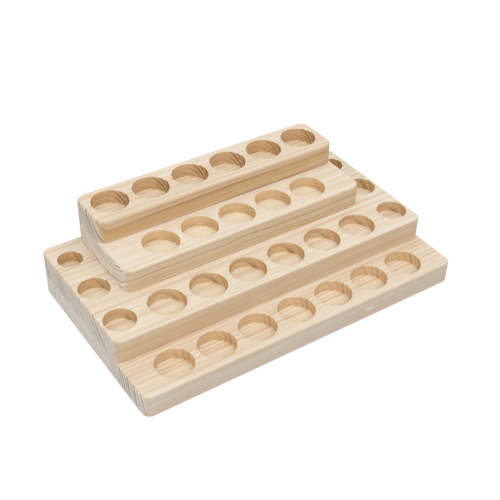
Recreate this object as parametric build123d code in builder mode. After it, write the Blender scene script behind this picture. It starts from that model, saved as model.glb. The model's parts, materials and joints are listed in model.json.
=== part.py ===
from build123d import *
from collections import namedtuple
import os

os.makedirs("parts", exist_ok=True)

# A display rack in solid pine: four boards, each set back from the one below, with flat-bottomed
# round pockets for thirty small bottles in the steps that this leaves. The boards are glued face
# to face over hidden dowel pins. Millimetres, +Z up, the low step towards -Y, and the origin in
# the middle of the underside.

# Boards
board_thickness = 20.0
lower_corner = 7.0
upper_corner = 9.0
base_round = 1.5
second_round = 1.5
third_round = 2.0
top_round = 3.0
foot_round = 1.5
arris_round = 0.5

# Bottle pockets
large_bore = 30.0
medium_bore = 25.0
small_bore = 20.0
pocket_depth = 10.0
top_pocket_depth = 12.0
rim_round = 0.5

# Rows of large pockets: how many each board has, and the wood between two of them
base_count = 7
second_count = 6
third_count = 5
top_count = 6
row_web = 6.4
third_row_web = 5.3

# Wood left around the rows: beyond the ends, in front of them and behind them
base_end_land = 20.8
top_end_land = 6.5
row_front_land = 6.0
base_rear_land = 5.0
second_rear_land = 8.0
third_rear_land = 4.5
top_front_land = 8.5
top_rear_land = 6.0

# Columns of smaller pockets at the two ends of the second board
column_end_land = 2.5
column_front_setback = 22.2
column_rear_setback = 23.2

# Dowel pins and the blind holes that they fill
dowel_diameter = 6.0
dowel_length = 20.0
dowel_chamfer = 1.0
flute_count = 12
flute_diameter = 0.8
dowel_clearance = 0.1
dowel_end_gap = 0.5
base_dowel_inset = 25.0
middle_dowel_inset = 12.0
top_dowel_inset = 8.0

# Sizes that follow: a board is as long as the pockets in it, and a step as deep as its own row
row_pitch = large_bore + row_web
third_row_pitch = large_bore + third_row_web
lower_length = base_count * large_bore + (base_count - 1) * row_web + 2 * base_end_land
upper_length = top_count * large_bore + (top_count - 1) * row_web + 2 * top_end_land
base_tread = row_front_land + large_bore + base_rear_land
second_tread = row_front_land + large_bore + second_rear_land
third_tread = row_front_land + large_bore + third_rear_land
top_depth = top_front_land + large_bore + top_rear_land
rack_depth = base_tread + second_tread + third_tread + top_depth
back = rack_depth / 2
dowel_hole_depth = dowel_length / 2 + dowel_end_gap

Board = namedtuple("Board", "length front underside top corner edge_round under_round")


def stacked(length, front, underside, corner, edge_round, under_round):
    """One board's place in the stack. Every board reaches back to the same face."""
    return Board(length, front, underside, underside + board_thickness, corner, edge_round, under_round)


base = stacked(lower_length, -back, 0, lower_corner, base_round, foot_round)
second = stacked(lower_length, base.front + base_tread, base.top, lower_corner, second_round, arris_round)
third = stacked(upper_length, second.front + second_tread, second.top, upper_corner, third_round, arris_round)
top = stacked(upper_length, third.front + third_tread, third.top, upper_corner, top_round, arris_round)


def outline(board):
    """Draw a board's plan, with rounded corners."""
    with Locations((0, (board.front + back) / 2)):
        RectangleRounded(board.length, back - board.front, board.corner)


def seat(board, lower, upper):
    """Draw the part of a board's plan where the two boards of a joint are sanded flush.

    Longer than its neighbour, the lower board shows beyond the upper one's ends, so that the
    two are flush at the back alone, between the upper board's corners.
    """
    end_setback = 0 if upper.length == lower.length else upper.corner
    front = upper.front + upper.corner
    outline(board)
    with Locations((0, (front + back) / 2)):
        Rectangle(upper.length - 2 * end_setback, back - front, mode=Mode.INTERSECT)


def blank(board, lower=None, upper=None):
    """Cut a board to its plan and round its edges, apart from those that lie flush in a joint."""
    with BuildSketch(Plane.XY.offset(board.underside)) as plan:
        outline(board)
    extrude(plan.sketch, amount=board_thickness)
    fillet(faces().sort_by(Axis.Z)[-1].edges(), board.edge_round)
    fillet(faces().sort_by(Axis.Z)[0].edges(), board.under_round)
    if upper:
        with BuildSketch(Plane.XY.offset(board.top)) as upper_seat:
            seat(board, board, upper)
        extrude(upper_seat.sketch, amount=-board.edge_round)
    if lower:
        with BuildSketch(Plane.XY.offset(board.underside)) as lower_seat:
            seat(board, lower, board)
        extrude(lower_seat.sketch, amount=board.under_round)


def row(count, pitch, y):
    """Centres of a row of pockets, spread about the middle of the rack."""
    return [((i - (count - 1) / 2) * pitch, y) for i in range(count)]


def pair(x, y):
    """Two centres that mirror each other across the middle of the rack."""
    return [(-x, y), (x, y)]


def pockets(board, places, bore, depth):
    """Sink flat-bottomed pockets into a board's top and ease their rims."""
    with BuildSketch(Plane.XY.offset(board.top)) as mouths:
        with Locations(*places):
            Circle(bore / 2)
    extrude(mouths.sketch, amount=-depth, mode=Mode.SUBTRACT)
    fillet(edges(Select.LAST).group_by(Axis.Z)[-1], rim_round)


def dowel_holes(joint, places, way):
    """Drill the blind dowel holes of a joint, up into one board or down into the other."""
    with BuildSketch(Plane.XY.offset(joint)) as holes:
        with Locations(*places):
            Circle(dowel_diameter / 2 + dowel_clearance)
    extrude(holes.sketch, amount=way * dowel_hole_depth, mode=Mode.SUBTRACT)


# Where the dowels stand: clear of every pocket, and never one above another within a board
base_dowel_places = [
    *pair(upper_length / 2 - base_dowel_inset, third.front + base_dowel_inset),
    *pair(upper_length / 2 - base_dowel_inset, back - base_dowel_inset),
]
middle_dowel_places = [
    *pair(upper_length / 2 - middle_dowel_inset, third.front + middle_dowel_inset),
    *pair(upper_length / 2 - middle_dowel_inset, back - middle_dowel_inset),
]
top_dowel_places = [
    *pair(2 * row_pitch, top.front + top_dowel_inset),
    *pair(2 * row_pitch, back - top_dowel_inset),
]

# Base board, with one open row along its front
with BuildPart() as base_board:
    blank(base, upper=second)
    pockets(
        base,
        row(base_count, row_pitch, base.front + row_front_land + large_bore / 2),
        large_bore,
        pocket_depth,
    )
    dowel_holes(base.top, base_dowel_places, -1)
base_board.part.label = "base_board"
export_step(base_board.part, "parts/base_board.step")

# Second board, with a row along its front and a column of smaller pockets at each end
column_x = lower_length / 2 - column_end_land - medium_bore / 2
column_front = second.front + column_front_setback
column_rear = back - column_rear_setback
with BuildPart() as second_board:
    blank(second, lower=base, upper=third)
    pockets(
        second,
        row(second_count, row_pitch, second.front + row_front_land + large_bore / 2),
        large_bore,
        pocket_depth,
    )
    pockets(
        second,
        pair(column_x, column_front) + pair(column_x, (column_front + column_rear) / 2),
        medium_bore,
        pocket_depth,
    )
    pockets(second, pair(column_x, column_rear), small_bore, pocket_depth)
    dowel_holes(second.underside, base_dowel_places, 1)
    dowel_holes(second.top, middle_dowel_places, -1)
second_board.part.label = "second_board"
export_step(second_board.part, "parts/second_board.step")

# Third board
with BuildPart() as third_board:
    blank(third, lower=second, upper=top)
    pockets(
        third,
        row(third_count, third_row_pitch, third.front + row_front_land + large_bore / 2),
        large_bore,
        pocket_depth,
    )
    dowel_holes(third.underside, middle_dowel_places, 1)
    dowel_holes(third.top, top_dowel_places, -1)
third_board.part.label = "third_board"
export_step(third_board.part, "parts/third_board.step")

# Top board
with BuildPart() as top_board:
    blank(top, lower=third)
    pockets(
        top,
        row(top_count, row_pitch, top.front + top_front_land + large_bore / 2),
        large_bore,
        top_pocket_depth,
    )
    dowel_holes(top.underside, top_dowel_places, 1)
top_board.part.label = "top_board"
export_step(top_board.part, "parts/top_board.step")

# One fluted dowel pin, centred on its own middle
with BuildPart() as pin:
    Cylinder(dowel_diameter / 2, dowel_length)
    chamfer(edges().filter_by(GeomType.CIRCLE), dowel_chamfer)
    with PolarLocations(dowel_diameter / 2, flute_count):
        Cylinder(flute_diameter / 2, dowel_length, mode=Mode.SUBTRACT)


def dowels(joint, places):
    """Stand a pin in each pair of holes of a joint, half in each board."""
    with Locations(*[(x, y, joint) for x, y in places]):
        add(pin.part)


# The three sets of pins, each named after the joint that it holds
with BuildPart() as base_dowels:
    dowels(base.top, base_dowel_places)
base_dowels.part.label = "base_dowels"
export_step(base_dowels.part, "parts/base_dowels.step")

with BuildPart() as middle_dowels:
    dowels(second.top, middle_dowel_places)
middle_dowels.part.label = "middle_dowels"
export_step(middle_dowels.part, "parts/middle_dowels.step")

with BuildPart() as top_dowels:
    dowels(third.top, top_dowel_places)
top_dowels.part.label = "top_dowels"
export_step(top_dowels.part, "parts/top_dowels.step")
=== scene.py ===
from collections import namedtuple
from math import cos, inf, radians, sin
import json

import bmesh
import bpy
from bpy.props import FloatProperty, FloatVectorProperty, PointerProperty
from mathutils import Euler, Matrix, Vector


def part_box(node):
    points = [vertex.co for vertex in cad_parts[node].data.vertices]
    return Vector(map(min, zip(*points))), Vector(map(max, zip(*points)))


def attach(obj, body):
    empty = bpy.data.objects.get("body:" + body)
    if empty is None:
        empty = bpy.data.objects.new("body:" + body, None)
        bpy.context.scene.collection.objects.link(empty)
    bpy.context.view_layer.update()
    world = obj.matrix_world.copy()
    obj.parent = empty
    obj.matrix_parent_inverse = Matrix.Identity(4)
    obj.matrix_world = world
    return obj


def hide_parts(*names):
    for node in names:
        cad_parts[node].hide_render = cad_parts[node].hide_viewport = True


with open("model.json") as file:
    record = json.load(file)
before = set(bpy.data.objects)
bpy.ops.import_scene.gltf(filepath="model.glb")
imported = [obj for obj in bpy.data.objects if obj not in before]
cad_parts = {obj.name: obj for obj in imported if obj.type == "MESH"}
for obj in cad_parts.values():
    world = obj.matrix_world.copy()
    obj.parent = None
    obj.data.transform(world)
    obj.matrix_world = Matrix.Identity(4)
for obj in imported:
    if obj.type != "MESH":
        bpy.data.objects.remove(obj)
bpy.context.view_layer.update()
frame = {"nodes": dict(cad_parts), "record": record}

bl_info = {
    "name": "Stepped Bottle Rack",
    "version": (1, 0, 0),
    "blender": (4, 5, 0),
    "location": "3D Viewport > Sidebar > Rack",
    "description": "Models a stepped pine rack for small bottles, and the studio it stands in",
    "category": "Add Mesh",
}

# The boards are worked out from the CAD frame: each has its node's box, the bottle pockets that
# the record lists for it, and the dowel holes that its pins stand in. All lengths are in metres.

Pocket = namedtuple("Pocket", "x y radius floor")
Board = namedtuple("Board", "node below above corner corner_above edge_round under_round")
Zone = namedtuple("Zone", "front reach")
Joint = namedtuple("Joint", "height reach flush")
Grain = namedtuple(
    "Grain", "pith slope waver rings strength fickle band amber level_amber paleness cast show")
Show = namedtuple("Show", "top front end wall floor")
Knock = namedtuple("Knock", "middle reach")
Feature = namedtuple("Feature", "per_metre detail roughness", defaults=(2.0, 0.5))
SoftBox = namedtuple("SoftBox", "name place size")

NODES = ("base_board", "second_board", "third_board", "top_board")
DOWELS = {
    ("base_board", "second_board"): "base_dowels",
    ("second_board", "third_board"): "middle_dowels",
    ("third_board", "top_board"): "top_dowels",
}
MM_PER_METRE = 1000

# A dowel hole is wider than its pin by the clearance all round, and deeper by the gap at its end
DOWEL_HOLE_RADIUS = 0.0031
DOWEL_CLEARANCE = 0.0001
DOWEL_END_GAP = 0.0005

# Two places nearer than a hair are one. A cutter runs past the wood by the overcut. A bore that
# ends no further than its rim's allowance below a board's top opens in that top.
HAIR = 1e-5
OVERCUT = 0.004
RIM_ALLOWANCE = 0.004

# Sides that meet at more than the fold are two sides, and those that meet at less than the flat
# angle are one. The shading runs smoothly over angles up to the smooth one.
FOLD_ANGLE = radians(40)
FLAT_ANGLE = radians(0.1)
SMOOTH_ANGLE = radians(35)

# How much of a direction points upwards, where it counts as upright and where as level
UPRIGHT = 0.9
LEVEL = 0.1

# Steps in a rounded corner, edge and rim, and round the wall of a pocket and of a dowel hole
CORNER_STEPS = 12
EDGE_STEPS = 5
RIM_STEPS = 4
WALL_STEPS = 96
HOLE_STEPS = 24

# How far the dark line of a joint reaches, a glue line that is partly painted contact shadow where a board
# stands
# on the board below: up the board that stands on it, up the top board, and down the board below it where
# the two are sanded flush. It fades over three quarters of that.
JOINT_LINE = 0.0007
TOP_JOINT_LINE = 0.0010
FLUSH_LINE = 0.00034

# How the growth rings lie in each board, seen from its left end:
# pith, the middle of the tree, by its place across the rack and its height;
# slope, how far the pith runs backwards and upwards for each metre that it runs to the right;
# waver, how far the rings stray from true circles, and how often along the board;
# rings, strength and amber, at distances from the pith, how many rings have been counted, how
# dark their late wood is, and how amber the wood is on upright faces, partly resinous wood and partly
# painted warm light;
# fickle, how much one ring's darkness differs from the next;
# band, how dark a ring is where its late wood begins;
# level_amber, how much of the amber the board's top takes, and how much its pockets' floors;
# paleness, the least and the most of the pale streaks;
# cast, painted light and shade: a tint of upright faces that sets their tone apart from the level ones;
# show, how strongly the rings show on the board's top, its front and back, its ends, and the
# walls and floors of its pockets.
GRAINS = {
    "base_board": Grain(
        pith=(0.027, -0.005),
        slope=(0.004, 0.0),
        waver=(0.0014, 9),
        rings=((0.0, 0), (0.060, 10), (0.075, 14.5), (0.090, 18.2), (0.107, 21.6), (0.160, 32)),
        strength=((0.0, 0.05), (0.012, 0.12), (0.052, 0.2), (0.060, 0.5), (0.068, 0.95), (0.108, 0.95),
                  (0.1115, 0.1), (0.160, 0.1)),
        fickle=0.65,
        band=0.35,
        amber=((0.0, 0.12), (0.105, 0.12), (0.112, 0.0)),
        level_amber=(0.12, 0.2),
        paleness=(0.05, 0.45),
        cast=(1.01, 1.0, 1.03),
        show=Show(top=1.0, front=0.25, end=1.45, wall=0.75, floor=0.9),
    ),
    "second_board": Grain(
        pith=(-0.089, 0.102),
        slope=(0.0, 0.003),
        waver=(0.0012, 9),
        rings=((0.0719, 1), (0.0839, 2), (0.0900, 3), (0.0915, 4), (0.0959, 5), (0.1044, 6),
               (0.1486, 13), (0.1577, 15), (0.198, 24)),
        strength=((0.070, 0.15), (0.087, 0.2), (0.0895, 0.4), (0.094, 0.9), (0.106, 0.9),
                  (0.115, 0.55), (0.140, 0.8), (0.160, 0.9)),
        fickle=0.65,
        band=0.3,
        amber=((0.076, 0.55), (0.084, 0.65), (0.092, 0.75), (0.098, 0.38), (0.125, 0.45), (0.165, 0.65)),
        level_amber=(0.12, 0.0),
        paleness=(0.45, 1.0),
        cast=(1.0, 1.01, 1.07),
        show=Show(top=1.0, front=0.7, end=1.2, wall=1.5, floor=1.1),
    ),
    "third_board": Grain(
        pith=(0.037, 0.105),
        slope=(0.0, -0.004),
        waver=(0.0034, 19),
        rings=((0.030, 0), (0.046, 1), (0.0497, 2), (0.0527, 3), (0.0557, 4), (0.0597, 5),
               (0.0625, 6), (0.0656, 7), (0.0696, 8), (0.0727, 9), (0.077, 10), (0.105, 16)),
        strength=((0.044, 0.5), (0.0485, 0.75), (0.0560, 0.75), (0.0590, 0.4), (0.0615, 0.25),
                  (0.0635, 0.5), (0.0650, 0.9), (0.105, 1.0)),
        fickle=0.25,
        band=0.3,
        amber=((0.046, 0.3), (0.058, 0.5), (0.066, 0.65), (0.075, 0.75)),
        level_amber=(0.12, 0.12),
        paleness=(0.6, 1.0),
        cast=(1.02, 1.05, 1.09),
        show=Show(top=0.2, front=1.2, end=1.2, wall=0.7, floor=0.4),
    ),
    "top_board": Grain(
        pith=(0.140, 0.0066),
        slope=(0.0, 0.0120),
        waver=(0.0018, 9),
        rings=((0.050, 1), (0.1169, 19), (0.1197, 20), (0.1223, 21), (0.150, 28)),
        strength=((0.050, 1.0), (0.1128, 1.0), (0.1153, 0.35), (0.1173, 0.5), (0.1190, 0.85),
                  (0.1205, 0.7), (0.1230, 0.6), (0.150, 0.9)),
        fickle=0.5,
        band=0.4,
        amber=((0.085, 0.35), (0.100, 0.4), (0.1113, 0.65), (0.1158, 0.9), (0.1188, 1.0),
               (0.1205, 0.55), (0.130, 0.45)),
        level_amber=(0.2, 0.55),
        paleness=(0.3, 0.95),
        cast=(0.99, 0.95, 0.94),
        show=Show(top=0.7, front=1.2, end=1.6, wall=1.6, floor=0.9),
    ),
}

# A knock in the base board's front that shows bare pale wood
KNOCKS = {
    "base_board": (Knock(middle=(0.0575, -0.085, 0.0092), reach=(0.0046, 0.0030, 0.0019)),),
}


class RACK_PG_sizes(bpy.types.PropertyGroup):
    """How far the boards' corners, edges and pocket rims are rounded"""

    lower_corner: FloatProperty(
        name="Lower corners", default=0.007, min=0.001, unit="LENGTH",
        description="Radius of the corners of the two long boards, seen from above")
    upper_corner: FloatProperty(
        name="Upper corners", default=0.009, min=0.001, unit="LENGTH",
        description="Radius of the corners of the two short boards, seen from above")
    base_round: FloatProperty(
        name="Base board edge", default=0.0015, min=0.0002, unit="LENGTH",
        description="Rounding of the base board's upper edge")
    second_round: FloatProperty(
        name="Second board edge", default=0.0015, min=0.0002, unit="LENGTH",
        description="Rounding of the second board's upper edge")
    third_round: FloatProperty(
        name="Third board edge", default=0.002, min=0.0002, unit="LENGTH",
        description="Rounding of the third board's upper edge")
    top_round: FloatProperty(
        name="Top board edge", default=0.003, min=0.0002, unit="LENGTH",
        description="Rounding of the top board's upper edge")
    foot_round: FloatProperty(
        name="Foot edge", default=0.0015, min=0.0002, unit="LENGTH",
        description="Rounding of the edge that the rack stands on")
    arris_round: FloatProperty(
        name="Lower arris", default=0.0005, min=0.0001, unit="LENGTH",
        description="Rounding of a board's lower edge where it stands on the board below")
    rim_round: FloatProperty(
        name="Pocket rim", default=0.0005, min=0.0001, unit="LENGTH",
        description="Rounding of the rim of every bottle pocket")


class RACK_PG_wood(bpy.types.PropertyGroup):
    """The colours of the pine boards and the beech pins"""

    early: FloatVectorProperty(
        name="Early wood", default=(0.845, 0.722, 0.57), size=3, min=0, max=1, subtype="COLOR",
        description="Spring growth of each ring")
    pale: FloatVectorProperty(
        name="Pale streaks", default=(0.915, 0.84, 0.72), size=3, min=0, max=1, subtype="COLOR",
        description="Whiter wood that drifts through the board")
    # Amber is partly resinous wood and partly painted warm light, since level faces take only a share of it
    amber: FloatVectorProperty(
        name="Amber wood", default=(0.69, 0.47, 0.225), size=3, min=0, max=1, subtype="COLOR",
        description="Resinous wood, which shows on the boards' fronts")
    late: FloatVectorProperty(
        name="Late wood", default=(0.47, 0.26, 0.11), size=3, min=0, max=1, subtype="COLOR",
        description="Dark line at the end of each ring, on the boards' sides")
    late_skimmed: FloatVectorProperty(
        name="Late wood, skimmed", default=(0.69, 0.42, 0.20), size=3, min=0, max=1, subtype="COLOR",
        description="The same line where a board's upper face skims it")
    # The end grain's grey is partly sanded wood and partly painted cool shade
    end_grain: FloatVectorProperty(
        name="End grain", default=(0.93, 0.87, 0.805), size=3, min=0, max=1, subtype="COLOR",
        description="Sanded end grain between the rings")
    end_rings: FloatVectorProperty(
        name="End grain rings", default=(0.27, 0.215, 0.17), size=3, min=0, max=1, subtype="COLOR",
        description="The rings' dark lines on sanded end grain")
    # The walls' tint is partly the cutter's torn wood and partly painted warm shade of the pockets
    bored: FloatVectorProperty(
        name="Bored walls", default=(0.98, 0.865, 0.685), size=3, min=0, max=1, subtype="COLOR",
        description="Tint of the walls that the cutter leaves in a pocket")
    # Painted light: the pockets' floors are brighter and yellower than the wood, against the shade in the
    # pockets
    lit_pocket_floor: FloatVectorProperty(
        name="Bored floors", default=(0.98, 0.895, 0.67), size=3, min=0, max=1, subtype="COLOR",
        description="Clean wood that the cutter's lower face leaves on a pocket's floor")
    bored_ends: FloatVectorProperty(
        name="Bored end grain", default=(0.97, 0.93, 0.86), size=3, min=0, max=1, subtype="COLOR",
        description="Further tint of those walls where they cut across the grain")
    bored_rings: FloatVectorProperty(
        name="Bored rings", default=(0.22, 0.10, 0.04), size=3, min=0, max=1, subtype="COLOR",
        description="The rings' dark lines where a pocket's wall shows end grain")
    # The joints' dark hair line: partly glue and dust, partly painted contact shadow along each board's
    # lower arris
    seam: FloatVectorProperty(
        name="Glue line", default=(0.34, 0.21, 0.11), size=3, min=0, max=1, subtype="COLOR",
        description="Hair line of glue and dust along the joints")
    knock: FloatVectorProperty(
        name="Knocks", default=(1.0, 0.97, 0.92), size=3, min=0, max=1, subtype="COLOR",
        description="Bare fibres where the surface has been knocked")
    beech: FloatVectorProperty(
        name="Beech", default=(0.50, 0.31, 0.17), size=3, min=0, max=1, subtype="COLOR",
        description="Ground colour of the dowel pins")
    beech_fleck: FloatVectorProperty(
        name="Beech fleck", default=(0.27, 0.14, 0.07), size=3, min=0, max=1, subtype="COLOR",
        description="Short dark flecks in the dowel pins")


class RACK_PG_studio(bpy.types.PropertyGroup):
    """The camera, the lights and the floor"""

    azimuth: FloatProperty(
        name="Camera azimuth", default=radians(-34.951), subtype="ANGLE",
        description="Turn of the camera round the rack, from straight in front")
    elevation: FloatProperty(
        name="Camera elevation", default=radians(37.980), subtype="ANGLE",
        description="Height of the camera above the horizon")
    roll: FloatProperty(
        name="Camera roll", default=radians(1.755), subtype="ANGLE",
        description="Turn of the camera about its own line of sight")
    distance: FloatProperty(
        name="Camera distance", default=0.766885, min=0.1, unit="LENGTH",
        description="Distance from the camera to the point it looks at")
    aim: FloatVectorProperty(
        name="Camera aim", default=(0.00377, 0.0066, 0.030), size=3, subtype="TRANSLATION", unit="LENGTH",
        description="Point that the camera looks at")
    lens: FloatProperty(
        name="Lens", default=67.322, min=10, unit="CAMERA",
        description="Focal length in millimetres on a 36 mm sensor")
    dome: FloatProperty(
        name="Dome light", default=0.65, min=0,
        description="Strength of the even light from all round")
    overhead: FloatProperty(
        name="Overhead light", default=4.25, min=0, unit="POWER",
        description="Power of the soft box above the rack")
    fill: FloatProperty(
        name="Fill light", default=3.4, min=0, unit="POWER",
        description="Power of the large soft box in front of the rack, to the left")
    fill_colour: FloatVectorProperty(
        name="Fill colour", default=(0.97, 0.985, 1.0), size=3, min=0, max=1, subtype="COLOR",
        description="Colour of the fill light, a little cooler than the rest")
    floor_grey: FloatProperty(
        name="Floor grey", default=0.42, min=0, max=1, subtype="FACTOR",
        description="How much light the floor gives back to the rack")
    floor_shade: FloatProperty(
        name="Floor shadow", default=0.25, min=0, max=1, subtype="FACTOR",
        description="How deep the rack's shadow looks on the white floor")


class RACK_PG_settings(bpy.types.PropertyGroup):
    """All the settings of the rack and its studio"""

    sizes: PointerProperty(type=RACK_PG_sizes)
    wood: PointerProperty(type=RACK_PG_wood)
    studio: PointerProperty(type=RACK_PG_studio)


def boards(sizes):
    """The four boards from the bottom up, each with its neighbours, its corners and its edges."""
    base, second, third, top = NODES
    lower, upper, arris = sizes.lower_corner, sizes.upper_corner, sizes.arris_round
    return {
        base: Board(base, None, second, lower, lower, sizes.base_round, sizes.foot_round),
        second: Board(second, base, third, lower, upper, sizes.second_round, arris),
        third: Board(third, second, top, upper, upper, sizes.third_round, arris),
        top: Board(top, third, None, upper, upper, sizes.top_round, arris),
    }


def pockets_in(node):
    """The bottle pockets that open in a board's top, from the record's mounts."""
    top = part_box(node)[1].z
    found = []
    for mount in frame["record"]["mounts"]:
        dims = mount.get("dims") or {}
        if "r_mm" not in dims:
            continue
        x, y, z = mount["pos_m"]
        half = dims["length_mm"] / MM_PER_METRE / 2
        if top - RIM_ALLOWANCE < z + half < top + HAIR:
            found.append(Pocket(x, y, dims["r_mm"] / MM_PER_METRE, z - half))
    if not found:
        raise RuntimeError(f"the record lists no pocket in {node}")
    return found


# Modelling helpers, which work on one selected piece as a person would in edit mode


def add_block(name, low, high):
    """Add a block from one corner to the other, with its place in its mesh."""
    bpy.ops.object.select_all(action="DESELECT")
    bpy.ops.mesh.primitive_cube_add(size=1, location=(low + high) / 2, scale=high - low)
    bpy.ops.object.transform_apply()
    block = bpy.context.object
    block.name = block.data.name = name
    return block


def select_edges(piece, wanted):
    """In edit mode, select the folded edges that wanted(middle, direction) picks, and count them."""
    bpy.ops.mesh.select_mode(type="EDGE")
    bpy.ops.mesh.select_all(action="DESELECT")
    mesh = bmesh.from_edit_mesh(piece.data)
    count = 0
    for edge in mesh.edges:
        start, end = (v.co for v in edge.verts)
        folded = edge.calc_face_angle(0) > FOLD_ANGLE
        if folded and wanted((start + end) / 2, (end - start).normalized()):
            edge.select_set(True)
            count += 1
    bmesh.update_edit_mesh(piece.data)
    return count


def round_edges(piece, radius, steps, wanted):
    """Bevel the edges that wanted picks."""
    bpy.ops.object.mode_set(mode="EDIT")
    if select_edges(piece, wanted):
        bpy.ops.mesh.bevel(offset=radius, segments=steps, affect="EDGES", clamp_overlap=False)
    bpy.ops.object.mode_set(mode="OBJECT")


def score(point, normal):
    """Cut a line of edges round the active piece where a plane crosses it."""
    bpy.ops.object.mode_set(mode="EDIT")
    bpy.ops.mesh.select_all(action="SELECT")
    bpy.ops.mesh.bisect(plane_co=point, plane_no=normal)
    bpy.ops.object.mode_set(mode="OBJECT")


def merge_flats():
    """Make one face of those of the active piece that lie in one plane."""
    bpy.ops.object.mode_set(mode="EDIT")
    bpy.ops.mesh.select_all(action="SELECT")
    bpy.ops.mesh.dissolve_limited(angle_limit=FLAT_ANGLE)
    bpy.ops.object.mode_set(mode="OBJECT")


def flush_zone(lower, upper, corner):
    """Where two boards' outlines are sanded flush: behind its front, within its reach of the middle."""
    upper_low, upper_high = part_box(upper)
    same_length = abs(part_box(lower)[1].x - upper_high.x) < HAIR
    return Zone(upper_low.y + corner, inf if same_length else upper_high.x - corner)


def score_zone(zone):
    """Divide the outline's edges where they run into the flush zone."""
    if zone.reach == inf:
        score((0, zone.front, 0), (0, 1, 0))
    else:
        for side in (-1, 1):
            score((side * zone.reach, 0, 0), (1, 0, 0))


def round_outline(piece, height, radius, zone):
    """Round a board's outline at one height, except inside the flush zone."""
    def wanted(middle, way):
        on_outline = abs(middle.z - height) < HAIR and abs(way.z) < LEVEL
        flush = zone and middle.y > zone.front - HAIR and abs(middle.x) < zone.reach + HAIR
        return on_outline and not flush

    round_edges(piece, radius, EDGE_STEPS, wanted)


def add_cylinder(x, y, radius, bottom, top, steps):
    """Add an upright cylinder, with its place in its mesh."""
    bpy.ops.object.select_all(action="DESELECT")
    bpy.ops.mesh.primitive_cylinder_add(
        vertices=steps, radius=radius, depth=top - bottom, location=(x, y, (bottom + top) / 2))
    bpy.ops.object.transform_apply()
    return bpy.context.object


def flare(cutter, pocket, top, rim):
    """Draw a cutter's upper end outwards in a quarter round, and then up clear of the board."""
    bpy.ops.object.mode_set(mode="EDIT")
    bpy.ops.mesh.select_mode(type="FACE")
    bpy.ops.mesh.select_all(action="DESELECT")
    mesh = bmesh.from_edit_mesh(cutter.data)
    for face in mesh.faces:
        face.select_set(face.normal.z > UPRIGHT)
    bmesh.update_edit_mesh(cutter.data)
    radius, height = pocket.radius, top - rim
    for step in range(1, RIM_STEPS + 1):
        turn = radians(90) * step / RIM_STEPS
        wider, higher = pocket.radius + rim * (1 - cos(turn)), top - rim + rim * sin(turn)
        bpy.ops.mesh.extrude_region_move(TRANSFORM_OT_translate={"value": (0, 0, higher - height)})
        bpy.ops.transform.resize(
            value=(wider / radius, wider / radius, 1), center_override=(pocket.x, pocket.y, higher))
        radius, height = wider, higher
    bpy.ops.mesh.extrude_region_move(TRANSFORM_OT_translate={"value": (0, 0, OVERCUT)})
    bpy.ops.object.mode_set(mode="OBJECT")


def join_cutters(made):
    """Join cutters into one mesh."""
    bpy.ops.object.select_all(action="DESELECT")
    for cutter in made:
        cutter.select_set(True)
    bpy.context.view_layer.objects.active = made[0]
    bpy.ops.object.join()
    return made[0]


def pocket_cutter(pockets, top, rim):
    """One mesh of flat-ended cutters, which leaves every pocket of a board with its rounded rim."""
    made = []
    for pocket in pockets:
        cutter = add_cylinder(pocket.x, pocket.y, pocket.radius, pocket.floor, top - rim, WALL_STEPS)
        flare(cutter, pocket, top, rim)
        made.append(cutter)
    return join_cutters(made)


def dowel_bit(pins, downwards):
    """One mesh of the bits that drill for a set of pins, down into a board or up into it."""
    low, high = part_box(pins)
    joint = (low.z + high.z) / 2
    depth = (high.z - low.z) / 2 + DOWEL_END_GAP
    reach = DOWEL_HOLE_RADIUS - DOWEL_CLEARANCE
    bottom, top = (joint - depth, joint + OVERCUT) if downwards else (joint - OVERCUT, joint + depth)
    made = []
    for x in (low.x + reach, high.x - reach):
        for y in (low.y + reach, high.y - reach):
            made.append(add_cylinder(x, y, DOWEL_HOLE_RADIUS, bottom, top, HOLE_STEPS))
    return join_cutters(made)


def make_active(piece):
    """Select one piece alone, for the operators that follow."""
    bpy.ops.object.select_all(action="DESELECT")
    piece.select_set(True)
    bpy.context.view_layer.objects.active = piece


def bore(piece, cutter, wall=None):
    """Cut the cutter's shape out of the piece. Its walls and floors take the material wall."""
    if wall:
        cutter.data.materials.append(wall)
    make_active(piece)
    cut = piece.modifiers.new("Bore", "BOOLEAN")
    cut.object = cutter
    cut.operation = "DIFFERENCE"
    cut.solver = "EXACT"
    cut.material_mode = "TRANSFER"
    bpy.ops.object.modifier_apply(modifier=cut.name)
    bpy.data.objects.remove(cutter)


def smooth(piece):
    """Shade the rounded edges smooth and keep the broad faces flat."""
    make_active(piece)
    bpy.ops.object.shade_smooth_by_angle(angle=SMOOTH_ANGLE)
    weighted = piece.modifiers.new("Flat faces", "WEIGHTED_NORMAL")
    weighted.keep_sharp = True
    bpy.ops.object.modifier_apply(modifier=weighted.name)


def shape_board(board):
    """Cut a board to size and round its corners and edges."""
    low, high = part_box(board.node)
    piece = add_block("pine_" + board.node, low, high)
    round_edges(piece, board.corner, CORNER_STEPS, lambda middle, way: abs(way.z) > UPRIGHT)
    above = flush_zone(board.node, board.above, board.corner_above) if board.above else None
    below = flush_zone(board.below, board.node, board.corner) if board.below else None
    if above:
        score_zone(above)
    round_outline(piece, high.z, board.edge_round, above)
    round_outline(piece, low.z, board.under_round, below)
    merge_flats()
    return piece


def make_board(board, sizes, wood):
    """Shape a board, bore its pockets and its dowel holes, and finish it."""
    piece = shape_board(board)
    low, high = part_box(board.node)
    joints = []
    if board.below:
        joints.append(Joint(low.z, JOINT_LINE if board.above else TOP_JOINT_LINE, flush=False))
    if board.above:
        joints.append(Joint(high.z, FLUSH_LINE, flush=True))
    piece.data.materials.append(planed_pine(board.node, wood, joints))
    wall = bored_pine(board.node, wood)
    bore(piece, pocket_cutter(pockets_in(board.node), high.z, sizes.rim_round), wall)
    for (lower, upper), pins in DOWELS.items():
        if board.node in (lower, upper):
            bore(piece, dowel_bit(pins, downwards=board.node == lower))
    smooth(piece)
    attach(piece, "root")
    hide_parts(board.node)


# Materials


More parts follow.
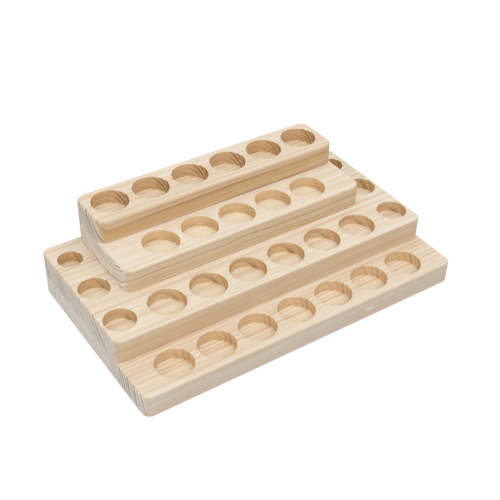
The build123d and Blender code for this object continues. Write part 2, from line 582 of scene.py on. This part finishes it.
class Recipe:
    """The nodes of a material or world, added one by one, so that a mixture reads like a formula."""

    def __init__(self, owner):
        self.owner = owner
        owner.use_nodes = True
        self.tree = owner.node_tree
        self.tree.nodes.clear()

    def add(self, kind, feeds=(), outlet=0, **settings):
        """Add a node, feed its sockets with values or with other nodes, and return one outlet."""
        node = self.tree.nodes.new(kind)
        for name, value in settings.items():
            setattr(node, name, value)
        pairs = feeds.items() if isinstance(feeds, dict) else enumerate(feeds)
        for key, value in pairs:
            if isinstance(value, bpy.types.NodeSocket):
                self.tree.links.new(value, node.inputs[key])
            else:
                node.inputs[key].default_value = value
        return node.outputs[outlet] if node.outputs else None

    def maths(self, operation, *values):
        """Work out one sum."""
        return self.add("ShaderNodeMath", values, operation=operation)

    def times(self, *values):
        """Multiply two or more values."""
        product, *others = values
        for value in others:
            product = self.maths("MULTIPLY", product, value)
        return product

    def vector(self, operation, *values, outlet=0):
        """Work out one sum with three numbers at a time."""
        return self.add("ShaderNodeVectorMath", values, outlet, operation=operation)

    def fit(self, value, low, high, to_low=0.0, to_high=1.0, smooth_step=False):
        """Bring a value from one range to another, and keep it there."""
        kind = "SMOOTHSTEP" if smooth_step else "LINEAR"
        return self.add("ShaderNodeMapRange", (value, low, high, to_low, to_high), interpolation_type=kind)

    def noise(self, place, feature, outlet="Fac"):
        """Noise with the sizes of a feature."""
        scaled = self.vector("MULTIPLY", place, feature.per_metre)
        feeds = {"Vector": scaled, "Scale": 1.0, "Detail": feature.detail, "Roughness": feature.roughness}
        return self.add("ShaderNodeTexNoise", feeds, outlet)

    def mix(self, factor, first, second, blend="MIX"):
        """Blend a second colour into the first, by as much as the factor says."""
        # The node's sockets for numbers, vectors and colours share their names, so these go by place
        feeds = {0: factor, 6: first, 7: second}
        return self.add("ShaderNodeMix", feeds, outlet=2, data_type="RGBA", blend_type=blend)

    def ramp(self, value, stops):
        """Grey levels at places along a value, joined by straight lines."""
        outlet = self.add("ShaderNodeValToRGB", (value,))
        elements = outlet.node.color_ramp.elements
        while len(elements) < len(stops):
            elements.new(0.5)
        for element, (place, level) in zip(elements, stops):
            element.position = place
            element.color = (level, level, level, 1)
        return outlet

    def surface(self, shader):
        """Finish a material with its shader, and return it."""
        self.add("ShaderNodeOutputMaterial", {"Surface": shader})
        return self.owner

    def bare_wood(self, tone, rough, relief, strength, depth):
        """Finish a material as wood without varnish, with its relief as a bump, and return it."""
        bump = self.add("ShaderNodeBump", {"Strength": strength, "Distance": depth, "Height": relief})
        return self.surface(self.add("ShaderNodeBsdfPrincipled", {
            "Base Color": tone, "Roughness": rough, "Normal": bump, "Specular IOR Level": WOOD_SPECULAR}))


def colour(values):
    """A colour's three parts, with full opacity as the fourth."""
    return (*values, 1.0)


# The rings are looked up in ramps that reach this far from the pith and count this many rings
PITH_REACH = 0.25
MOST_RINGS = 64

# The wood's features, each with how many there are to the metre along the board, across it and
# upwards, how much finer detail they hold, and how rough that detail is
PATCHES = Feature((10, 110, 60), detail=1.0)
FIBRES = Feature((25, 1100, 1100), detail=3.0, roughness=0.6)
DUCTS = Feature((110, 2300, 2300), detail=0.0)
STREAKS = Feature((4, 430, 430), detail=3.0, roughness=0.6)
DRIFTS = Feature((7, 60, 60))
MOTTLE = Feature((26, 48, 48))
TORN_GRAIN = Feature((900, 900, 500), detail=3.0)
BROWN_EDGE_NOISE = Feature((160, 160, 160))
RAGGED_LINE = Feature((60, 60, 60))
KNOCKED_FIBRES = Feature((420, 420, 900))
CHATTER = Feature((90, 90, 2600), detail=1.0)
BEECH_FIGURE = Feature((500, 500, 40))
BEECH_FLECKS = Feature((2600, 2600, 420), detail=1.0)

# How often the rings waver across the board, and how often and how far their spacing varies
WAVER_ACROSS = 22
UNEVEN_PER_METRE = 210
UNEVEN_BY = 0.0009

# What becomes of a feature's noise: a stretch of it, and the two values that its ends are brought
# to, or 0 and 1 where the row ends there
DRIFT_STRETCH = (0.35, 0.7)
DUCT_SPOTS = (0.70, 0.78)
LINE_PATCHES = (0.32, 0.66, 0.35, 1.0)
ARC_PATCHES = (0.32, 0.66, 0.6, 1.0)
MOTTLE_WARMTH = (0.3, 0.7, 0.8, 1.1)
MOTTLE_SHADE = (0.3, 0.7, 0.96, 1.02)
FIBRE_SHADE = (0.25, 0.75, 0.93, 1.03)
FIBRE_ROUGHNESS = (0.2, 0.8, 0.50, 0.66)
STREAK_SHADE = (0.32, 0.68, 0.885, 1.075)
TORN_SHADE = (0.35, 0.65, 0.94, 1.07)
# Browning of rounded edges: worn burnish, and painted shade along the pockets' rims
BROWN_EDGE_STRENGTH = (0.35, 0.65, 0.12, 0.48)
LINE_SHIFT = (0.35, 0.65, -0.00012, 0.00012)
BEECH_FIGURE_STRETCH = (0.35, 0.7)
BEECH_FLECK_SPOTS = (0.62, 0.74)
BEECH_ROUGHNESS = (0, 1, 0.55, 0.72)

# The same for the distance from a knock's middle, in shares of its reach and with the noise added
KNOCK_EDGE = (1.15, 1.4, 0.9, 0.0)

# The same for how squarely a face points along the board, upwards, or straight at all, to count
# as an end, as level, as upright, or as a rounded edge
END_FACE = (0.5, 0.97)
LEVEL_FACE = (0.25, 0.9)
UPRIGHT_FACE = (0.4, 0.7, 1, 0)
ROUNDED_FACE = (0.99, 0.75)

# How strongly the parts of the mixture count
LINE_STRENGTH = 0.9
WALL_SIDE_SHARE = 0.6
END_WARMTH = 0.25
# Painted light on the pockets' floors: how much of the brighter floor colour they take, and how much
# brighter their shade is
BORED_FLOOR_TINT = 0.4
BORED_FLOOR_LIGHT = 1.03
DUCT_STRENGTH = 0.22
JOINT_DARKNESS = 0.85
JOINT_ON_END = 0.4
END_ROUGHNESS = 0.12
RING_SHINE = 0.10
FIBRE_RELIEF = 0.5
RING_RELIEF = 0.6
CHATTER_RELIEF = 0.8
BEECH_PALER = 1.18
BEECH_FLECK_STRENGTH = 0.8

# A darker shade is also warmer: it takes less from the red and more from the blue
SHADE_POWERS = (0.6, 1.0, 1.7)

WOOD_SPECULAR = 0.35
PINE_BUMP, PINE_BUMP_DEPTH = 0.35, 0.00012
BEECH_BUMP, BEECH_BUMP_DEPTH = 0.3, 0.0001


def ring_profile(band):
    """How dark a ring is, at shares of the way out from the dark line before it to its own."""
    return (0.0, 0.55), (0.04, 0.03), (0.35, 0.06), (0.62, band), (0.86, 0.8), (0.96, 1.0)


class Pine(Recipe):
    """Pine with its growth rings in three dimensions, so that every face shows its own cut."""

    def __init__(self, node, wood, bored):
        name = ("Bored " if bored else "Pine ") + node.replace("_", " ")
        super().__init__(bpy.data.materials.new(name))
        self.grain = GRAINS[node]
        self.wood = wood
        self.bored = bored
        self.place = self.add("ShaderNodeTexCoord", outlet="Object")
        normal = self.add("ShaderNodeTexCoord", outlet="Normal")
        facing = self.add("ShaderNodeSeparateXYZ", (normal,)).node.outputs
        self.lengthwise, self.across, self.upward = (self.maths("ABSOLUTE", facing[axis]) for axis in "XYZ")
        self.on_end = self.fit(self.lengthwise, *END_FACE, smooth_step=True)
        self.on_level = self.fit(self.upward, *LEVEL_FACE, smooth_step=True)
        self.fibre = self.noise(self.place, FIBRES)
        self.mottle = self.noise(self.place, MOTTLE)
        self.outwards = self.way_outwards()
        self.dark = self.late_wood()

    def way_outwards(self):
        """The distance from the pith as a share of its reach, with a slow waver along the board."""
        stray, pace = self.grain.waver
        waver = Feature((pace, WAVER_ACROSS, WAVER_ACROSS), detail=1.0)
        wander = self.noise(self.place, waver, "Color")

        # The noise runs from 0 to 1, so it strays by up to a half to either side
        wander = self.vector("SUBTRACT", wander, (0.5, 0.5, 0.5))
        wander = self.vector("MULTIPLY", wander, (0, 2 * stray, 2 * stray))
        backwards, upwards = self.grain.slope
        lay = self.add("ShaderNodeMapping", {
            "Vector": self.vector("ADD", self.place, wander),
            "Location": (0, *self.grain.pith),
            "Rotation": (0, -upwards, backwards),
        }, vector_type="TEXTURE")
        distance = self.vector("LENGTH", self.vector("MULTIPLY", lay, (0, 1, 1)), outlet="Value")
        feeds = {"W": distance, "Scale": UNEVEN_PER_METRE, "Detail": 0}
        uneven = self.add("ShaderNodeTexNoise", feeds, noise_dimensions="1D")
        distance = self.maths("ADD", distance, self.fit(uneven, 0, 1, -UNEVEN_BY, UNEVEN_BY))
        return self.maths("DIVIDE", distance, PITH_REACH)

    def by_distance(self, stops, most=1):
        """A figure that the grain gives at distances from the pith, as a share of its most."""
        shares = [(distance / PITH_REACH, figure / most) for distance, figure in stops]
        return self.ramp(self.outwards, shares)

    def late_wood(self):
        """How dark the wood is with its rings, each a little stronger or fainter than the next."""
        count = self.times(self.by_distance(self.grain.rings, MOST_RINGS), MOST_RINGS)
        dark = self.ramp(self.maths("FRACT", count), ring_profile(self.grain.band))
        ring = self.maths("FLOOR", count)
        chance = self.add("ShaderNodeTexWhiteNoise", {"W": ring}, noise_dimensions="1D")
        strength = self.by_distance(self.grain.strength)
        strength = self.times(strength, self.fit(chance, 0, 1, 1.0 - self.grain.fickle, 1.0))
        return self.times(dark, strength)

    def clear_wood(self):
        """The colours of the long grain and of the end grain between the rings."""
        wood, grain = self.wood, self.grain
        paler = self.fit(self.noise(self.place, DRIFTS), *DRIFT_STRETCH, *grain.paleness)
        long_grain = self.mix(paler, colour(wood.early), colour(wood.pale))
        warmth = self.times(self.by_distance(grain.amber), self.fit(self.mottle, *MOTTLE_WARMTH))
        # Painted warm light: level faces take only a share of the amber that upright faces show
        top_share, floor_share = grain.level_amber
        amber_share = self.fit(self.on_level, 0, 1, 1, floor_share if self.bored else top_share)
        long_grain = self.mix(self.times(warmth, amber_share), long_grain, colour(wood.amber))
        # Painted light and shade: upright faces take the board's tint, level faces don't
        upright = self.maths("SUBTRACT", 1, self.on_level)
        long_grain = self.mix(upright, long_grain, colour(grain.cast), "MULTIPLY")
        if self.bored:
            # Painted warm shade: pocket walls darker and warmer than the boards' faces, partly the cutter's
            # torn wood
            wall = self.mix(1.0, long_grain, colour(wood.bored), "MULTIPLY")
            # Painted light: the floors brighter and yellower, against the pockets' shade
            floor = self.mix(BORED_FLOOR_TINT, long_grain, colour(wood.lit_pocket_floor))
            long_grain = self.mix(self.on_level, wall, floor)
            end_grain = self.mix(1.0, long_grain, colour(wood.bored_ends), "MULTIPLY")
        else:
            # End grain: partly sanded wood, partly painted cool shade in its grey
            end_grain = self.mix(self.times(warmth, END_WARMTH), colour(wood.end_grain), colour(wood.amber))
        return long_grain, end_grain

    def ringed_wood(self):
        """The wood's colour with its rings, as lines along the grain and as arcs on end grain."""
        wood, show = self.wood, self.grain.show
        long_grain, end_grain = self.clear_wood()
        if self.bored:
            side_show, level_show, end_show = WALL_SIDE_SHARE * show.wall, show.floor, show.wall
            end_rings = wood.bored_rings
        else:
            side_show, level_show, end_show = show.front, show.top, show.end
            end_rings = wood.end_rings
        patch = self.noise(self.place, PATCHES)
        showing = self.fit(self.on_level, 0, 1, side_show, level_show)
        lines = self.times(self.dark, self.fit(patch, *LINE_PATCHES), showing, LINE_STRENGTH)
        arcs = self.times(self.dark, self.fit(patch, *ARC_PATCHES), end_show)
        late = self.mix(self.on_level, colour(wood.late), colour(wood.late_skimmed))
        long_grain = self.mix(lines, long_grain, late)
        end_grain = self.mix(arcs, end_grain, colour(end_rings))
        return self.mix(self.on_end, long_grain, end_grain)

    def shaded(self, tone):
        """The tone with its fibres, streaks and mottle, and with the dark specks of its resin ducts."""
        fibres = self.fit(self.fibre, *FIBRE_SHADE)
        mottle = self.fit(self.mottle, *MOTTLE_SHADE)
        streaks = self.fit(self.noise(self.place, STREAKS), *STREAK_SHADE)
        shade = self.times(fibres, mottle, streaks)
        if self.bored:
            torn = self.fit(self.noise(self.place, TORN_GRAIN), *TORN_SHADE)
            # Floors take no torn grain, and are painted a little lighter
            shade = self.times(shade, self.fit(self.on_level, 0, 1, torn, BORED_FLOOR_LIGHT))
        parts = [self.maths("POWER", shade, power) for power in SHADE_POWERS]
        tone = self.mix(1.0, tone, self.add("ShaderNodeCombineXYZ", parts), "MULTIPLY")
        duct = self.fit(self.noise(self.place, DUCTS), *DUCT_SPOTS)
        return self.mix(self.times(duct, DUCT_STRENGTH), tone, colour(self.wood.late))

    def edge_wear_and_rim_shade(self, tone):
        """The tone, browner along rounded edges and pocket rims: partly wear that burnishes them, partly
        painted shade in the dark line along each rim.
        """
        if self.bored:
            upright = self.maths("SQRT", self.maths("SUBTRACT", 1, self.times(self.upward, self.upward)))
        else:
            upright = self.maths("MAXIMUM", self.lengthwise, self.across)
        squarely = self.maths("MAXIMUM", upright, self.upward)
        # Browner edges: worn burnish, and painted shade along the pockets' rims
        brown_edges = self.fit(self.noise(self.place, BROWN_EDGE_NOISE), *BROWN_EDGE_STRENGTH)
        return self.mix(self.times(self.fit(squarely, *ROUNDED_FACE), brown_edges), tone, colour(self.wood.amber))

    def joined(self, tone, joints):
        """The tone with the dark hair lines of the joints, glue lines that are partly painted contact
        shadow, on upright faces only where they are flush.
        """
        height = self.add("ShaderNodeSeparateXYZ", (self.place,)).node.outputs["Z"]
        shift = self.fit(self.noise(self.place, RAGGED_LINE), *LINE_SHIFT)
        fainter = self.fit(self.on_end, 0, 1, 1, JOINT_ON_END)
        for joint in joints:
            gap = self.maths("ABSOLUTE", self.maths("SUBTRACT", height, joint.height))
            gap = self.maths("ADD", gap, shift)
            line = self.fit(gap, joint.reach / 4, joint.reach, JOINT_DARKNESS, 0.0)
            line = self.times(line, fainter)
            if joint.flush:
                line = self.times(line, self.fit(self.upward, *UPRIGHT_FACE))
            # Glue line, and painted contact shadow where a board stands on the one below
            tone = self.mix(line, tone, colour(self.wood.seam))
        return tone

    def knocked(self, tone, knocks):
        """The tone with pale bare fibres where the surface has been knocked."""
        for knock in knocks:
            away = self.vector("DIVIDE", self.vector("SUBTRACT", self.place, knock.middle), knock.reach)
            fibres = self.noise(self.place, KNOCKED_FIBRES)
            away = self.maths("ADD", self.vector("LENGTH", away, outlet="Value"), fibres)
            tone = self.mix(self.fit(away, *KNOCK_EDGE), tone, colour(self.wood.knock))
        return tone

    def finished(self, tone):
        """The material of this tone, with its fibres, its rings and the cutter's marks in relief."""
        rough = self.fit(self.fibre, *FIBRE_ROUGHNESS)
        rough = self.maths("ADD", rough, self.times(self.on_end, END_ROUGHNESS))
        rough = self.maths("SUBTRACT", rough, self.times(self.dark, RING_SHINE))
        relief = self.times(self.fibre, FIBRE_RELIEF)
        relief = self.maths("ADD", relief, self.times(self.dark, RING_RELIEF))
        if self.bored:
            marks = self.times(self.noise(self.place, CHATTER), CHATTER_RELIEF)
            relief = self.maths("ADD", relief, marks)
        return self.bare_wood(tone, rough, relief, PINE_BUMP, PINE_BUMP_DEPTH)


def planed_pine(node, wood, joints):
    """The pine of a board's outside."""
    pine = Pine(node, wood, bored=False)
    tone = pine.edge_wear_and_rim_shade(pine.shaded(pine.ringed_wood()))
    return pine.finished(pine.knocked(pine.joined(tone, joints), KNOCKS.get(node, ())))


def bored_pine(node, wood):
    """The pine of a board's pockets."""
    pine = Pine(node, wood, bored=True)
    return pine.finished(pine.edge_wear_and_rim_shade(pine.shaded(pine.ringed_wood())))


def beech(wood):
    """Beech dowel: a long figure, and short dark flecks along the pin."""
    r = Recipe(bpy.data.materials.new("Beech dowel"))
    place = r.add("ShaderNodeTexCoord", outlet="Object")
    figure = r.fit(r.noise(place, BEECH_FIGURE), *BEECH_FIGURE_STRETCH)
    fleck = r.fit(r.noise(place, BEECH_FLECKS), *BEECH_FLECK_SPOTS)
    paler = tuple(min(1.0, BEECH_PALER * level) for level in wood.beech)
    tone = r.mix(figure, colour(wood.beech), colour(paler))
    tone = r.mix(r.times(fleck, BEECH_FLECK_STRENGTH), tone, colour(wood.beech_fleck))
    return r.bare_wood(tone, r.fit(fleck, *BEECH_ROUGHNESS), figure, BEECH_BUMP, BEECH_BUMP_DEPTH)


def seen_directly(recipe):
    """1 for rays from the camera, in a reflection or through glass, and 0 for light on the object."""
    path = recipe.add("ShaderNodeLightPath").node.outputs
    seen = recipe.maths("MAXIMUM", path["Is Camera Ray"], path["Is Glossy Ray"])
    return recipe.maths("MAXIMUM", seen, path["Is Transmission Ray"])


# Operators, one for each board, one for the pins and one for the studio


class BoardOperator:
    """What the operators of the four boards share."""

    bl_options = {"REGISTER", "UNDO"}
    node = ""

    def execute(self, context):
        settings = context.scene.rack
        make_board(boards(settings.sizes)[self.node], settings.sizes, settings.wood)
        return {"FINISHED"}


class RACK_OT_base_board(BoardOperator, bpy.types.Operator):
    """Model the base board, with its row of seven pockets"""

    bl_idname = "rack.base_board"
    bl_label = "Base Board"
    node = "base_board"


class RACK_OT_second_board(BoardOperator, bpy.types.Operator):
    """Model the second board, with its row of six pockets and the smaller ones at its ends"""

    bl_idname = "rack.second_board"
    bl_label = "Second Board"
    node = "second_board"


class RACK_OT_third_board(BoardOperator, bpy.types.Operator):
    """Model the third board, with its row of five pockets"""

    bl_idname = "rack.third_board"
    bl_label = "Third Board"
    node = "third_board"


class RACK_OT_top_board(BoardOperator, bpy.types.Operator):
    """Model the top board, with its row of six deeper pockets"""

    bl_idname = "rack.top_board"
    bl_label = "Top Board"
    node = "top_board"


class RACK_OT_dowels(bpy.types.Operator):
    """Finish the dowel pins of the three joints in beech"""

    bl_idname = "rack.dowels"
    bl_label = "Dowel Pins"
    bl_options = {"REGISTER", "UNDO"}

    def execute(self, context):
        material = beech(context.scene.rack.wood)
        for pins in DOWELS.values():
            for place in frame["nodes"][pins].material_slots:
                place.material = material
        return {"FINISHED"}


WHITE = (1, 1, 1)
FLOOR_SIZE = 6

# What the floor's glow and its shadow add up to, a little over white
FLOOR_WHITENESS = 1.10

OVERHEAD = SoftBox("Overhead soft box", place=(0.0, -0.35, 1.1), size=1.0)
FILL = SoftBox("Fill soft box", place=(-1.08, -0.62, 0.62), size=1.1)
SENSOR_WIDTH_MM = 36


class RACK_OT_stage(bpy.types.Operator):
    """Set up the floor, the light and the camera"""

    bl_idname = "rack.stage"
    bl_label = "Studio"
    bl_options = {"REGISTER", "UNDO"}

    def execute(self, context):
        studio = context.scene.rack.studio
        self.floor(studio)
        self.dome(context, studio)
        self.soft_box(OVERHEAD, studio.overhead, WHITE)
        self.soft_box(FILL, studio.fill, studio.fill_colour)
        self.camera(context, studio)
        context.scene.view_settings.view_transform = "Standard"
        return {"FINISHED"}

    def floor(self, studio):
        """Lay a floor that looks white, and that gives back less light than it shows."""
        bpy.ops.object.select_all(action="DESELECT")
        bpy.ops.mesh.primitive_plane_add(size=FLOOR_SIZE)
        floor = bpy.context.object
        floor.name = "Studio_floor"
        r = Recipe(bpy.data.materials.new("Studio floor"))
        seen = seen_directly(r)
        grey = r.fit(seen, 0, 1, studio.floor_grey, studio.floor_shade)
        tone = r.add("ShaderNodeCombineXYZ", (grey, grey, grey))
        diffuse = r.add("ShaderNodeBsdfDiffuse", {"Color": tone})
        glow = r.times(seen, FLOOR_WHITENESS - studio.floor_shade)
        emission = r.add("ShaderNodeEmission", {"Strength": glow})
        floor.data.materials.append(r.surface(r.add("ShaderNodeAddShader", (diffuse, emission))))

    def dome(self, context, studio):
        """Light the rack evenly from all round, in front of a white background."""
        r = Recipe(bpy.data.worlds.new("Studio dome"))
        strength = r.fit(seen_directly(r), 0, 1, studio.dome, 1.0)
        background = r.add("ShaderNodeBackground", {"Color": colour(WHITE), "Strength": strength})
        r.add("ShaderNodeOutputWorld", {"Surface": background})
        context.scene.world = r.owner

    def soft_box(self, box, power, tint):
        """Hang a square soft box that faces the rack."""
        bpy.ops.object.light_add(type="AREA", location=box.place)
        lamp = bpy.context.object
        lamp.name = box.name
        lamp.data.energy = power
        lamp.data.color = tint
        lamp.data.shape = "SQUARE"
        lamp.data.size = box.size
        lamp.rotation_euler = (-lamp.location).to_track_quat("-Z", "Y").to_euler()

    def camera(self, context, studio):
        """Place the camera, aim it and roll it about its line of sight."""
        bpy.ops.object.camera_add()
        camera = bpy.context.object
        camera.name = "Studio camera"
        camera.data.lens = studio.lens
        camera.data.sensor_width = SENSOR_WIDTH_MM
        turn = Euler((radians(90) - studio.elevation, 0, studio.azimuth)).to_matrix()
        camera.location = Vector(studio.aim) + turn @ Vector((0, 0, studio.distance))
        turn = turn @ Euler((0, 0, studio.roll)).to_matrix()
        camera.rotation_euler = turn.to_euler()
        context.scene.camera = camera


OPERATORS = (
    RACK_OT_base_board,
    RACK_OT_second_board,
    RACK_OT_third_board,
    RACK_OT_top_board,
    RACK_OT_dowels,
    RACK_OT_stage,
)


class RACK_PT_panel(bpy.types.Panel):
    """The rack's operators and settings in the sidebar"""

    bl_idname = "RACK_PT_panel"
    bl_label = "Stepped Bottle Rack"
    bl_space_type = "VIEW_3D"
    bl_region_type = "UI"
    bl_category = "Rack"

    def draw(self, context):
        for operator in OPERATORS:
            self.layout.operator(operator.bl_idname)
        settings = context.scene.rack
        groups = {"Sizes": settings.sizes, "Wood": settings.wood, "Studio": settings.studio}
        for heading, group in groups.items():
            box = self.layout.box()
            box.label(text=heading)
            for name in group.__annotations__:
                box.prop(group, name)


CLASSES = (RACK_PG_sizes, RACK_PG_wood, RACK_PG_studio, RACK_PG_settings, *OPERATORS, RACK_PT_panel)


def register():
    """Add the rack's settings, operators and panel to Blender."""
    for cls in CLASSES:
        bpy.utils.register_class(cls)
    bpy.types.Scene.rack = PointerProperty(type=RACK_PG_settings)


def unregister():
    """Take them out again."""
    del bpy.types.Scene.rack
    for cls in reversed(CLASSES):
        bpy.utils.unregister_class(cls)


def main():
    """Register the add-on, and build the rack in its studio."""
    register()
    bpy.ops.rack.base_board()
    bpy.ops.rack.second_board()
    bpy.ops.rack.third_board()
    bpy.ops.rack.top_board()
    bpy.ops.rack.dowels()
    bpy.ops.rack.stage()


if __name__ == "__main__":
    main()
